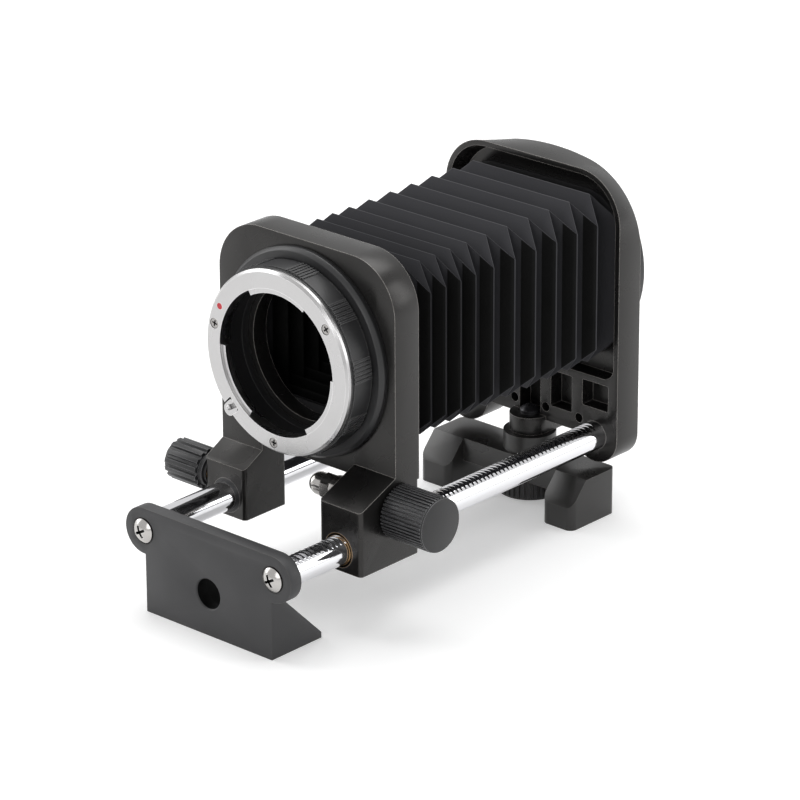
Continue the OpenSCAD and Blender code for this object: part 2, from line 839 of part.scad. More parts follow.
// A station is a rectangle: its place along the axis, its half width and its half height.
// The last one is drawn in, to fit between the rear standard's round corners.
function stations(t) = [
    for (k = [0 : 2 * pleats])
        k % 2 == 0
            ? [
                pleat_y(k / 2),
                fold_out_x - t - (k < 2 * pleats ? 0 : rear_draw_in),
                fold_out_z - fold_depth - t
            ]
            : [(pleat_y((k - 1) / 2) + pleat_y((k + 1) / 2)) / 2, fold_out_x - fold_depth - t, fold_out_z - t]
];

module bellows() {
    outer = stations(0);
    inner = stations(cloth_t);
    rows = len(outer);
    corners = [[-1, -1], [1, -1], [1, 1], [-1, 1]];
    points = concat(
        [for (s = outer) for (c = corners) [c[0] * s[1], s[0], c[1] * s[2]]],
        [for (s = inner) for (c = corners) [c[0] * s[1], s[0], c[1] * s[2]]]
    );
    inner_start = 4 * rows;
    last = rows - 1;
    faces = concat(
        [
            for (i = [0 : rows - 2]) for (c = [0 : 3])
                for (f = [[0, 1, 5], [0, 5, 4]])
                    [for (v = f) 4 * i + (v > 3 ? 4 : 0) + (c + v % 4) % 4]
        ],
        [
            for (i = [0 : rows - 2]) for (c = [0 : 3])
                for (f = [[5, 1, 0], [4, 5, 0]])
                    [for (v = f) inner_start + 4 * i + (v > 3 ? 4 : 0) + (c + v % 4) % 4]
        ],
        [
            for (c = [0 : 3])
                for (f = [[0, 1, 2], [0, 2, 3]])
                    let (q = [inner_start + c, inner_start + (c + 1) % 4, (c + 1) % 4, c])
                        [for (v = f) q[v]]
        ],
        [
            for (c = [0 : 3])
                for (f = [[2, 1, 0], [3, 2, 0]])
                    let (q = [
                        inner_start + 4 * last + c, inner_start + 4 * last + (c + 1) % 4,
                        4 * last + (c + 1) % 4, 4 * last + c
                    ])
                        [for (v = f) q[v]]
        ]
    );
    color("#1d1d20")
        polyhedron(points = points, faces = faces, convexity = 10);
}

module bellows_frame_outline(inset, r) {
    x = fold_out_x - inset;
    z = fold_out_z - inset;
    difference() {
        rounded_rect(-x, x, -z, z, r);
        rounded_rect(
            -fold_out_x + fold_depth + 1, fold_out_x - fold_depth - 1,
            -fold_out_z + fold_depth + 1, fold_out_z - fold_depth - 1, 4
        );
    }
}

module rear_bellows_frame() {
    color("#1a1a1c")
        slab(rear_floor_y - frame_t, rear_floor_y)
            bellows_frame_outline(rear_draw_in, rear_corner_r - 15);
}

module front_bellows_frame() {
    color("#1a1a1c")
        slab(front_floor_y, front_floor_y + frame_t)
            bellows_frame_outline(0, corner_r - 11);
}

// ---------- camera mount ----------

module camera_flange() {
    r = camera_flange_d / 2;
    color("#262628")
    difference() {
        turned()
            polygon([
                [rear_bore_d / 2, rear_back_y],
                [r - 1, rear_back_y],
                [r, rear_back_y + 1],
                [r, -camera_ring_t - 0.8],
                [r - 0.8, -camera_ring_t],
                [rear_bore_d / 2, -camera_ring_t]
            ]);
        for (a = [45 : 90 : 315])
            rod_y(
                ring_screw_d + 2 * seat_gap, -camera_ring_t - 4, 0,
                camera_screw_circle * cos(a), camera_screw_circle * sin(a)
            );
    }
}

module camera_bayonet() {
    over_y = tube_out - tab_thickness;
    color("#d2d2d6")
    difference() {
        union() {
            turned()
                polygon([
                    [tube_bore_d / 2, -camera_ring_t],
                    [camera_ring_d / 2, -camera_ring_t],
                    [camera_ring_d / 2, -0.4],
                    [camera_ring_d / 2 - 0.4, 0],
                    [tube_d / 2, 0],
                    [tube_d / 2, tube_out - 0.4],
                    [tube_d / 2 - 0.4, tube_out],
                    [tube_bore_d / 2, tube_out]
                ]);
            slab(over_y, tube_out)
                intersection() {
                    difference() {
                        circle(d = tab_over_d, $fn = round_fn);
                        circle(d = tube_d - 1.4, $fn = round_fn);
                    }
                    for (a = [30, 150, 270])
                        wedge(a, lug_arc - 4, tab_over_d);
                }
        }
        for (a = [45 : 90 : 315])
            translate([camera_screw_circle * cos(a), -camera_screw_sink, camera_screw_circle * sin(a)])
                turned()
                    flush_profile(camera_ring_t + 1, 0.1, 1);
    }
}

// Half profile of a countersunk screw whose head is flush at the origin. With slack and
// some height above the head it is the profile of the screw's hole.
module flush_profile(length, slack = 0, above = 0) {
    polygon([
        [0, -length],
        [ring_screw_d / 2 + slack, -length],
        [ring_screw_d / 2 + slack, -screw_land - screw_cone_h],
        [ring_screw_head_d / 2 + slack, -screw_land],
        [ring_screw_head_d / 2 + slack, above],
        [0, above]
    ]);
}

// A countersunk screw with its head flush at the origin, pointing up
module flush_screw(length) {
    difference() {
        rotate_extrude($fn = 48)
            flush_profile(length);
        cross_recess(ring_screw_head_d * 0.6, 0.5);
    }
}

module camera_ring_screws() {
    color("#8c8c90")
    for (a = [45 : 90 : 315])
        translate([camera_screw_circle * cos(a), -camera_screw_sink, camera_screw_circle * sin(a)])
            rotate([-90, 0, 0])
                flush_screw(camera_screw_len);
}

// ---------- post and tripod foot ----------

module post_screw() {
    color("#3a3a3c")
    translate([0, post_y, ground + boss_top])
        rotate([0, 0, 20])
            cross_screw(post_head_d, rail_head_h, rail_screw_d, boss_top - boss_bottom + 9);
}

module post_stem() {
    z0 = ground + stem_bottom;
    color("#7c7c80")
    difference() {
        union() {
            rod_z(stem_d, z0, stem_top, 0, post_y);
            rod_z(6, stem_top - 1, stem_top + 1.5, 0, post_y);
        }
        rod_z(rail_screw_d + 2 * seat_gap, stem_top - 10, stem_top + 2, 0, post_y);
        rod_z(tripod_bore_d, z0 - 1, z0 + tripod_depth, 0, post_y);
        translate([0, post_y, z0 - 0.01])
            cylinder(d1 = tripod_bore_d + 1.4, d2 = tripod_bore_d, h = 0.7, $fn = round_fn);
    }
}

// Side profile of the foot's ends: upright front, large bevel, flat top, upright back
module foot_end_profile() {
    polygon([
        [post_y - foot_front, ground],
        [post_y - foot_front, ground + foot_front_h],
        [post_y - foot_front + foot_h - foot_front_h - 0.9, ground + foot_h],
        [post_y + foot_rear, ground + foot_h],
        [post_y + foot_rear, ground]
    ]);
}

module tripod_foot() {
    x_in = foot_len / 2 - foot_end_w;
    hub_top = ground + boss_bottom - face_gap / 2;
    color("#333336")
    difference() {
        union() {
            for (s = [-1, 1])
                intersection() {
                    beam(s > 0 ? x_in : -foot_len / 2, s > 0 ? foot_len / 2 : -x_in)
                        foot_end_profile();
                    translate([0, 0, ground])
                        linear_extrude(foot_h)
                            rounded_rect(
                                s > 0 ? x_in : -foot_len / 2, s > 0 ? foot_len / 2 : -x_in,
                                post_y - foot_front, post_y + foot_rear, foot_edge_r
                            );
                }
            beam(-x_in - foot_edge_r - 1, x_in + foot_edge_r + 1)
                polygon([
                    [post_y - arm_front, ground + arm_underside],
                    [post_y - arm_front, ground + foot_h],
                    [post_y + foot_rear, ground + foot_h],
                    [post_y + foot_rear, ground + arm_underside]
                ]);
            rod_z(hub_d, ground + arm_underside, hub_top, 0, post_y);
        }
        rod_z(stem_d + 2 * running_gap, ground, hub_top + 1, 0, post_y);
    }
}

module locking_disc() {
    z0 = ground + disc_bottom;
    color("#1f1f21")
    difference() {
        union() {
            translate([0, post_y, z0 + 0.7])
                linear_extrude(disc_top - z0 - 1.4)
                    ribbed_disc(disc_d / 2 - 0.6, disc_d / 2, disc_ribs, 0.6);
            rod_z(disc_d - 1.4, z0, disc_top, 0, post_y);
        }
        rod_z(stem_d + 2 * running_gap, z0 - 1, disc_top + 1, 0, post_y);
    }
}

// ---------- front standard ----------

// A guide block's side profile: flat front, sloping top that runs up to the standard's face
module block_profile(face_y, rise) {
    top = rail_z + rise;
    polygon([
        [face_y, rail_z - block_drop],
        [face_y, top],
        [front_face_y, top + min(block_slope, (front_face_y - face_y) * block_slope / long_nose + 1)],
        [front_face_y, -front_drop + 1],
        [front_back_y, -front_drop + 1],
        [front_back_y, rail_z - block_drop]
    ]);
}

module guide_block(x0, x1, face_y, rise) {
    intersection() {
        beam(x0, x1)
            block_profile(face_y, rise);
        translate([0, 0, rail_z - block_drop - 1])
            linear_extrude(standard_rise + rail_drop)
                rounded_rect(x0, x1, face_y, front_back_y, block_edge_r);
    }
}

module front_standard() {
    half = standard_w / 2 - front_rim;
    color("#262628")
    difference() {
        union() {
            slab(front_face_y, front_back_y)
                arched_rect(standard_w / 2, -front_drop, standard_rise, corner_r, 0.6);
            guide_block(block_in_x, block_out_x, long_face_y, long_rise);
            guide_block(-block_out_x, -block_in_x, short_face_y, short_rise);
        }
        slab(front_floor_y, front_back_y + 1)
            arched_rect(half, -front_drop + front_rim, standard_rise - front_rim, corner_r - front_rim, 5);
        rod_y(front_bore_d, front_face_y - 1, front_back_y + 1);
        for (s = [-1, 1])
            rod_y(bush_d, long_face_y - 1, front_back_y + 1, s * rail_x, rail_z);
        rod_x(2 * cavity_r, block_in_x - 1, cavity_out, pinion_y, pinion_z);
        rod_x(outer_bearing_d + 2 * seat_gap, cavity_out - 1, block_out_x + 1, pinion_y, pinion_z);
        rod_x(plug_d + 0.2, -block_out_x + 1, -rail_x, clamp_y, clamp_z);
        rod_x(insert_d + 2 * seat_gap, -block_out_x - 1, -block_out_x + 2, clamp_y, clamp_z);
    }
}

module bush(x, from, to, d) {
    difference() {
        rod_y(d - 2 * seat_gap, from, to, x, rail_z);
        rod_y(rail_d + 2 * running_gap, from - 1, to + 1, x, rail_z);
    }
}

module brass_bushes() {
    color("#a8763e")
    difference() {
        union() {
            bush(rail_x, long_face_y, long_face_y + bush_front_len, bush_d);
            bush(rail_x, front_back_y - bush_rear_len, front_back_y, bush_d);
        }
        rod_x(2 * cavity_r, block_in_x - 1, cavity_out, pinion_y, pinion_z);
    }
}

module black_bushes() {
    color("#101012")
    difference() {
        union() {
            bush(-rail_x, short_face_y, short_face_y + bush_front_len, bush_d);
            bush(-rail_x, front_back_y - bush_rear_len, front_back_y, bush_d);
        }
        rod_x(plug_d + 0.2, -block_out_x, -rail_x + 0.6, clamp_y, clamp_z);
    }
}

// ---------- lens mount ----------

collar_front_y = ring_y + ring_t;
collar_back_y = front_face_y - flange_t;
slot_depth = tab_t + tab_travel + 1.4;
ring_screw_angles = [166, 38, 267];
dot_angle = 151.6;

// The radial slot that the release tab slides in
module tab_slot(from, to, extra) {
    rotate([0, -lock_angle, 0])
        translate([lock_circle - tab_w / 2 - extra, from, -tab_w / 2 - extra])
            cube([20, to - from, tab_w + 2 * extra]);
}

module lens_flange() {
    r = flange_d / 2;
    color("#1c1c1e")
        turned()
            polygon([
                [collar_bore_d / 2, front_face_y],
                [r, front_face_y],
                [r, front_face_y - flange_t + 1.2],
                [r - 1.1, collar_back_y],
                [collar_bore_d / 2, collar_back_y]
            ]);
}

// Ribs stand on the collar in groups, with smooth ground between the groups
module collar_outline() {
    step = 360 / rib_groups;
    rib_step = 2.4;
    first = 7 - rib_step * (ribs_per_group - 1) / 2;
    r = collar_d / 2 - rib_h;
    circle(r = r, $fn = round_fn);
    for (g = [0 : rib_groups - 1], i = [0 : ribs_per_group - 1])
        rotate(g * step + first + i * rib_step)
            translate([r - 1, -0.35])
                square([1 + rib_h, 0.7]);
}

module ribbed_collar() {
    color("#1c1c1e")
    difference() {
        union() {
            slab(collar_front_y + 0.8, collar_back_y - 0.7)
                collar_outline();
            rod_y(collar_d - 4 * rib_h, collar_front_y, collar_back_y);
        }
        rod_y(collar_bore_d, collar_front_y - 1, collar_back_y + 1);
        tab_slot(collar_front_y - 1, ring_y + slot_depth, 0.3);
        for (a = ring_screw_angles)
            rod_y(
                ring_screw_d + 2 * seat_gap, collar_front_y - 1, collar_front_y + 5,
                ring_screw_circle * cos(a), ring_screw_circle * sin(a)
            );
        rotate([0, -lock_angle, 0])
            rod_y(lock_pin_d + 2 * running_gap, ring_y, collar_back_y - 1, lock_circle, 0);
    }
}

module bayonet_ring() {
    r = ring_d / 2;
    bore_r = lens_bore_d / 2;
    color("#d9d9db")
    difference() {
        union() {
            turned()
                polygon([
                    [bore_r, ring_y],
                    [r - ring_bevel, ring_y],
                    [r, ring_y + ring_bevel],
                    [r, collar_front_y],
                    [collar_bore_d / 2 - running_gap, collar_front_y],
                    [collar_bore_d / 2 - running_gap, ring_y + sleeve_depth],
                    [bore_r, ring_y + sleeve_depth]
                ]);
            slab(ring_y + lug_set_back, ring_y + lug_set_back + lug_t)
                intersection() {
                    difference() {
                        circle(r = bore_r + 0.5, $fn = round_fn);
                        circle(d = lug_bore_d, $fn = round_fn);
                    }
                    for (a = [90, 210, 330])
                        wedge(a, lug_arc, lens_bore_d);
                }
        }
        tab_slot(ring_y - 1, collar_front_y + 1, 0.3);
        for (a = ring_screw_angles)
            translate([ring_screw_circle * cos(a), ring_y + ring_screw_sink, ring_screw_circle * sin(a)])
                rotate([90, 0, 0])
                    rotate_extrude($fn = round_fn)
                        flush_profile(ring_t + 1, 0.1, 1);
        rod_y(dot_d, ring_y - 1, ring_y + 0.3, ring_screw_circle * cos(dot_angle), ring_screw_circle * sin(dot_angle));
    }
}

module bayonet_screws() {
    color("#77777b")
    for (a = ring_screw_angles)
        translate([ring_screw_circle * cos(a), ring_y + ring_screw_sink, ring_screw_circle * sin(a)])
            rotate([90, 0, 0])
                rotate([0, 0, a])
                    flush_screw(ring_screw_len);
}

module index_dot() {
    color("#c8202c")
        rod_y(
            dot_d - 2 * seat_gap, ring_y + 0.05, ring_y + 0.3,
            ring_screw_circle * cos(dot_angle), ring_screw_circle * sin(dot_angle)
        );
}

// The lock pin and its release tab are one riveted piece, pushed forwards by a spring
module lens_lock() {
    tab_y = ring_y + 0.9;
    color("#d9d9db")
    rotate([0, -lock_angle, 0]) {
        slab(tab_y, tab_y + tab_t) {
            translate([lock_circle, 0])
                circle(d = tab_w, $fn = round_fn);
            translate([lock_circle, -tab_w / 2])
                square([ring_d / 2 + tab_out - lock_circle - tab_w / 2, tab_w]);
            translate([ring_d / 2 + tab_out - tab_w / 2, 0])
                circle(d = tab_w, $fn = round_fn);
        }
        rod_y(lock_pin_d, ring_y - lock_pin_out + 0.4, collar_back_y - 1 - tab_travel - 0.6, lock_circle, 0);
        translate([lock_circle, ring_y - lock_pin_out + 0.4, 0])
            sphere(d = lock_pin_d, $fn = 32);
    }
}

// ---------- clamp on the short block ----------

module clamp_insert() {
    color("#b08d57")
    difference() {
        rod_x(insert_d, -block_out_x, -block_out_x + 2, clamp_y, clamp_z);
        rod_x(shaft_d + 2 * running_gap, -block_out_x - 1, -block_out_x + 3, clamp_y, clamp_z);
    }
}

module clamp_screw() {
    color("#9a9a9e") {
        rod_x(shaft_d, clamp_knob_x - clamp_knob_len + 4, screw_shoulder_x, clamp_y, clamp_z);
        rod_x(plug_d / 2, screw_shoulder_x - 0.1, plug_back_x + 1.2, clamp_y, clamp_z);
    }
}

module clamp_knob() {
    color("#2a2a2c")
    translate([clamp_knob_x, clamp_y, clamp_z])
        rotate([0, -90, 0])
            difference() {
                union() {
                    translate([0, 0, 1.6])
                        linear_extrude(clamp_knob_len - 2.4)
                            ribbed_disc(clamp_knob_d / 2 - clamp_groove_depth, clamp_knob_d / 2, clamp_ribs, 0.72);
                    cylinder(d = clamp_knob_d - 3, h = 1.7, $fn = round_fn);
                    translate([0, 0, clamp_knob_len - 0.8])
                        cylinder(d = clamp_knob_d - 2 * clamp_groove_depth - 0.3, h = 0.8, $fn = round_fn);
                }
                translate([0, 0, -1])
                    cylinder(d = shaft_d + 2 * seat_gap, h = clamp_knob_len - 4 + 1.2, $fn = round_fn);
            }
}

module clamp_collar() {
    color("#161618")
    difference() {
        rod_x(shaft_d + 4, clamp_knob_x + collar_gap, -block_out_x - collar_gap, clamp_y, clamp_z);
        rod_x(shaft_d + 2 * seat_gap, clamp_knob_x - 1, -block_out_x + 1, clamp_y, clamp_z);
    }
}

// A soft plug whose end is cut to the rail's round, so that it grips without a mark
module clamp_plug() {
    color("#e4e2da")
    difference() {
        rod_x(plug_d, plug_back_x, -rail_x - 0.1, clamp_y, clamp_z);
        rod_x(plug_d / 2 + 0.3, plug_back_x - 1, plug_back_x + 1.2 + clamp_pitch + 0.3, clamp_y, clamp_z);
        rod_y(rail_d + 2 * running_gap, clamp_y - plug_d, clamp_y + plug_d, -rail_x, rail_z);
    }
}

end_plate();
end_plate_screws();
plain_rail();
rack_rail();
rear_standard();
rear_rail_screws();
rear_bellows_frame();
bellows();
camera_flange();
camera_bayonet();
camera_ring_screws();
post_screw();
post_stem();
tripod_foot();
locking_disc();
front_standard();
brass_bushes();
black_bushes();
front_bellows_frame();
lens_flange();
ribbed_collar();
bayonet_ring();
bayonet_screws();
index_dot();
lens_lock();
pinion_shaft();
focus_knob();
focus_collar();
bearing_sleeve();
outer_bearing();
thrust_washer();
cap_nut();
clamp_insert();
clamp_screw();
clamp_knob();
clamp_collar();
clamp_plug();
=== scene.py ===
import math

import bpy
from mathutils import Matrix, Vector


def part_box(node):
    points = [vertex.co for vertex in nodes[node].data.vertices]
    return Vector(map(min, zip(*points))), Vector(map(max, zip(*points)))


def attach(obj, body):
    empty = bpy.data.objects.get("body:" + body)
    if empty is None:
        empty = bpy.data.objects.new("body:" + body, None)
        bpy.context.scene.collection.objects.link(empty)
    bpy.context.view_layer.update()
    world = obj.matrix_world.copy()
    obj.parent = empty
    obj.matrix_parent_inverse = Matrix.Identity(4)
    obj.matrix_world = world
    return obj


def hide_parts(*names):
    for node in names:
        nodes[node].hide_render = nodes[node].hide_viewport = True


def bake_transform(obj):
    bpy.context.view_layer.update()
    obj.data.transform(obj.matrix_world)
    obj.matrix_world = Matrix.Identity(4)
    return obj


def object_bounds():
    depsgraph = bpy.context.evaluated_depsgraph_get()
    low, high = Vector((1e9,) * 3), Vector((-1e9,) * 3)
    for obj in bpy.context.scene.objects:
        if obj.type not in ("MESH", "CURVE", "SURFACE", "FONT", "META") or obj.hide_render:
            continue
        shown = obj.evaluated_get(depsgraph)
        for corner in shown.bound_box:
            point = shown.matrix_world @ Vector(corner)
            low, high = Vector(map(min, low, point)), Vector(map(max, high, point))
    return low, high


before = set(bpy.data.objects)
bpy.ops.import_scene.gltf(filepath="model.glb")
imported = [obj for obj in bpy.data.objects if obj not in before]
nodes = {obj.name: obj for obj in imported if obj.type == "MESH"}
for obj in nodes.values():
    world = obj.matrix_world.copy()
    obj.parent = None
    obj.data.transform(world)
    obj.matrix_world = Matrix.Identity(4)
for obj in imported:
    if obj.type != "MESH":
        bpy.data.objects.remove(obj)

solid_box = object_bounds()
bpy.ops.object.select_all(action="DESELECT")

# ---------------------------------------------------------------- camera
# The unit is seen from the front right and above, through a long lens. The picture was cropped
# off centre, which the shift repeats.
IMAGE_PX = 800
SENSOR_MM = 36.0
FOCAL_PX = 4531.6
CENTRE_PX = (359.06, 408.99)
azimuth, elevation, roll = (math.radians(v) for v in (42.75, 22.36, -0.47))
AIM = Vector((0.0, -0.1017, -0.027))
DISTANCE = 1.4424

back = Vector((
    math.sin(azimuth) * math.cos(elevation),
    -math.cos(azimuth) * math.cos(elevation),
    math.sin(elevation),
))
level_right = Vector((math.cos(azimuth), math.sin(azimuth), 0.0))
level_up = back.cross(level_right)
right = math.cos(roll) * level_right + math.sin(roll) * level_up
up = -math.sin(roll) * level_right + math.cos(roll) * level_up

camera_data = bpy.data.cameras.new("photo_camera")
camera_data.sensor_width = SENSOR_MM
camera_data.lens = FOCAL_PX * SENSOR_MM / IMAGE_PX
camera_data.shift_x = (IMAGE_PX / 2 - CENTRE_PX[0]) / IMAGE_PX
camera_data.shift_y = (CENTRE_PX[1] - IMAGE_PX / 2) / IMAGE_PX
camera = bpy.data.objects.new("photo_camera", camera_data)
bpy.context.scene.collection.objects.link(camera)
facing = Matrix((right, up, back)).transposed().to_4x4()
camera.matrix_world = Matrix.Translation(AIM + back * DISTANCE) @ facing
bpy.context.scene.camera = camera

# ---------------------------------------------------------------- floor and light
# A white sweep under large soft boxes: one overhead and a little behind, one at the left, and two
# weak ones in front and at the right rear. The floor glows only where it is seen, which whitens
# it and leaves its soft shadow.
bpy.context.scene.view_settings.view_transform = "Standard"
FLOOR_SIZE = 12.0
FLOOR_GREY = 0.82
FLOOR_LIFT = 0.32
ROOM_LIGHT = 0.42


def seen_directly(tree):
    """1 for what the camera sees, and for what it sees mirrored in metal or through glass."""
    rays = tree.nodes.new("ShaderNodeLightPath")
    most = rays.outputs["Is Camera Ray"]
    for kind in ("Is Glossy Ray", "Is Transmission Ray"):
        larger = tree.nodes.new("ShaderNodeMath")
        larger.operation = "MAXIMUM"
        tree.links.new(most, larger.inputs[0])
        tree.links.new(rays.outputs[kind], larger.inputs[1])
        most = larger.outputs[0]
    return most


bpy.ops.mesh.primitive_plane_add(size=FLOOR_SIZE, location=(0, 0, solid_box[0].z))
floor = bpy.context.object
floor.name = "floor"
floor_paint = bpy.data.materials.new("white_sweep")
floor_paint.use_nodes = True
tree = floor_paint.node_tree
tree.nodes.clear()
output = tree.nodes.new("ShaderNodeOutputMaterial")
matt = tree.nodes.new("ShaderNodeBsdfDiffuse")
matt.inputs["Color"].default_value = (FLOOR_GREY, FLOOR_GREY, FLOOR_GREY, 1)
glow = tree.nodes.new("ShaderNodeEmission")
lift = tree.nodes.new("ShaderNodeMath")
lift.operation = "MULTIPLY"
lift.inputs[1].default_value = FLOOR_LIFT
both = tree.nodes.new("ShaderNodeAddShader")
tree.links.new(seen_directly(tree), lift.inputs[0])
tree.links.new(lift.outputs[0], glow.inputs["Strength"])
tree.links.new(matt.outputs[0], both.inputs[0])
tree.links.new(glow.outputs[0], both.inputs[1])
tree.links.new(both.outputs[0], output.inputs["Surface"])
floor.data.materials.append(floor_paint)
floor.select_set(False)

world = bpy.data.worlds.new("studio")
bpy.context.scene.world = world
world.use_nodes = True
tree = world.node_tree
tree.nodes.clear()
output = tree.nodes.new("ShaderNodeOutputWorld")
sky = tree.nodes.new("ShaderNodeBackground")
strength = tree.nodes.new("ShaderNodeMapRange")
strength.inputs["To Min"].default_value = ROOM_LIGHT
strength.inputs["To Max"].default_value = 1.0
tree.links.new(seen_directly(tree), strength.inputs["Value"])
tree.links.new(strength.outputs["Result"], sky.inputs["Strength"])
tree.links.new(sky.outputs[0], output.inputs["Surface"])


def soft_box(name, place, aim, width, height, watts):
    data = bpy.data.lights.new(name, "AREA")
    data.shape = "RECTANGLE"
    data.size, data.size_y, data.energy = width, height, watts
    lamp = bpy.data.objects.new(name, data)
    bpy.context.scene.collection.objects.link(lamp)
    lamp.location = place
    lamp.rotation_euler = (Vector(aim) - Vector(place)).to_track_quat("-Z", "Y").to_euler()


soft_box("overhead_box", (-0.15, 0.25, 1.25), (0, -0.08, 0), width=1.3, height=1.1, watts=16)
soft_box("left_box", (-1.2, -0.5, 0.55), (0, -0.08, 0), width=0.6, height=1.2, watts=7)
soft_box("front_fill", (0.5, -1.5, 0.6), (0, -0.1, -0.02), width=0.8, height=0.8, watts=4)
soft_box("right_rear_box", (1.1, 0.9, 0.5), (0, -0.08, 0), width=0.5, height=1.0, watts=4)


# ---------------------------------------------------------------- castings
# The two standards are aluminium die castings, deburred and coated with a thin satin black paint, a little
# worn at the edges, which also carry a painted highlight. Bores are turned after casting.
CASTING_EDGE = 0.0004
# In a rounded copy, points within WELD are joined and faces within FLAT_ANGLE merged. Edges over
# SHARP_ANGLE are rounded, and those under SMOOTH_ANGLE are shaded smooth.
WELD = 0.000002
FLAT_ANGLE, SHARP_ANGLE, SMOOTH_ANGLE = (math.radians(v) for v in (0.6, 35, 32))


def new_group(name, inputs, outputs):
    group = bpy.data.node_groups.new(name, "ShaderNodeTree")
    for label, kind, value in inputs:
        socket = group.interface.new_socket(label, in_out="INPUT", socket_type=kind)
        socket.default_value = value
    for label in outputs:
        group.interface.new_socket(label, in_out="OUTPUT", socket_type="NodeSocketFloat")
    return group, group.nodes.new("NodeGroupInput"), group.nodes.new("NodeGroupOutput")


# Grain: a fine height for bump and a slow tone for smudges, both from Object coordinates.
grain, given, result = new_group(
    "surface_grain", [("Scale", "NodeSocketFloat", 4000.0), ("Smudge scale", "NodeSocketFloat", 60.0)],
    ["Height", "Tone"])
place = grain.nodes.new("ShaderNodeTexCoord")
for source, target in (("Scale", "Height"), ("Smudge scale", "Tone")):
    noise = grain.nodes.new("ShaderNodeTexNoise")
    noise.inputs["Detail"].default_value = 3.0
    grain.links.new(place.outputs["Object"], noise.inputs["Vector"])
    grain.links.new(given.outputs[source], noise.inputs["Scale"])
    grain.links.new(noise.outputs["Fac"], result.inputs[target])

# Edge wear and painted edge light: where a rounded normal leaves the true one, broken up by noise.
wear_and_light, given, result = new_group(
    "edge_wear_and_painted_light", [("Radius", "NodeSocketFloat", 0.0004), ("Gain", "NodeSocketFloat", 5.0)], ["Mask"])
rounding = wear_and_light.nodes.new("ShaderNodeBevel")
rounding.samples = 4
true_normal = wear_and_light.nodes.new("ShaderNodeNewGeometry")
match = wear_and_light.nodes.new("ShaderNodeVectorMath")
match.operation = "DOT_PRODUCT"
depart = wear_and_light.nodes.new("ShaderNodeMath")
depart.operation = "SUBTRACT"
depart.inputs[0].default_value = 1.0
place = wear_and_light.nodes.new("ShaderNodeTexCoord")
breakup = wear_and_light.nodes.new("ShaderNodeTexNoise")
breakup.inputs["Scale"].default_value = 350.0
breakup.inputs["Detail"].default_value = 4.0
broken = wear_and_light.nodes.new("ShaderNodeMath")
broken.operation = "MULTIPLY"
gained = wear_and_light.nodes.new("ShaderNodeMath")
gained.operation = "MULTIPLY"
gained.use_clamp = True
wear_and_light.links.new(given.outputs["Radius"], rounding.inputs["Radius"])
wear_and_light.links.new(rounding.outputs["Normal"], match.inputs[0])
wear_and_light.links.new(true_normal.outputs["Normal"], match.inputs[1])
wear_and_light.links.new(match.outputs["Value"], depart.inputs[1])
wear_and_light.links.new(place.outputs["Object"], breakup.inputs["Vector"])
wear_and_light.links.new(depart.outputs[0], broken.inputs[0])
wear_and_light.links.new(breakup.outputs["Fac"], broken.inputs[1])
wear_and_light.links.new(broken.outputs[0], gained.inputs[0])
wear_and_light.links.new(given.outputs["Gain"], gained.inputs[1])
wear_and_light.links.new(gained.outputs[0], result.inputs["Mask"])


def finish(name, colour, edge_colour, rough, metallic=0.0, scale=4000.0, bump=0.1, radius=0.0004,
           gain=5.0, specular=0.5):
    """A Principled finish with grain, smudged gloss, and edges tinted to edge_colour for wear and painted
    edge light. rough is its least and greatest.
    """
    made = bpy.data.materials.new(name)
    made.use_nodes = True
    tree = made.node_tree
    shader = tree.nodes["Principled BSDF"]
    shader.inputs["Metallic"].default_value = metallic
    shader.inputs["Specular IOR Level"].default_value = specular
    fine = tree.nodes.new("ShaderNodeGroup")
    fine.node_tree = grain
    fine.inputs["Scale"].default_value = scale
    edge_tint = tree.nodes.new("ShaderNodeGroup")
    edge_tint.node_tree = wear_and_light
    edge_tint.inputs["Radius"].default_value = radius
    edge_tint.inputs["Gain"].default_value = gain
    tint = tree.nodes.new("ShaderNodeMix")
    tint.name, tint.data_type = "tint", "RGBA"
    tint.inputs["A"].default_value = (*colour, 1)
    tint.inputs["B"].default_value = (*edge_colour, 1)
    gloss = tree.nodes.new("ShaderNodeMapRange")
    gloss.inputs["From Min"].default_value = 0.3
    gloss.inputs["From Max"].default_value = 0.7
    gloss.inputs["To Min"].default_value, gloss.inputs["To Max"].default_value = rough
    relief = tree.nodes.new("ShaderNodeBump")
    relief.name = "relief"
    relief.inputs["Strength"].default_value = bump
    relief.inputs["Distance"].default_value = 0.0001
    tree.links.new(edge_tint.outputs["Mask"], tint.inputs["Factor"])
    tree.links.new(tint.outputs["Result"], shader.inputs["Base Color"])
    tree.links.new(fine.outputs["Tone"], gloss.inputs["Value"])
    tree.links.new(gloss.outputs["Result"], shader.inputs["Roughness"])
    tree.links.new(fine.outputs["Height"], relief.inputs["Height"])
    tree.links.new(relief.outputs["Normal"], shader.inputs["Normal"])
    return made


def dress(material, *names):
    """Puts a material in place of the plain one on CAD nodes."""
    for name in names:
        for holder in nodes[name].material_slots:
            holder.material = material


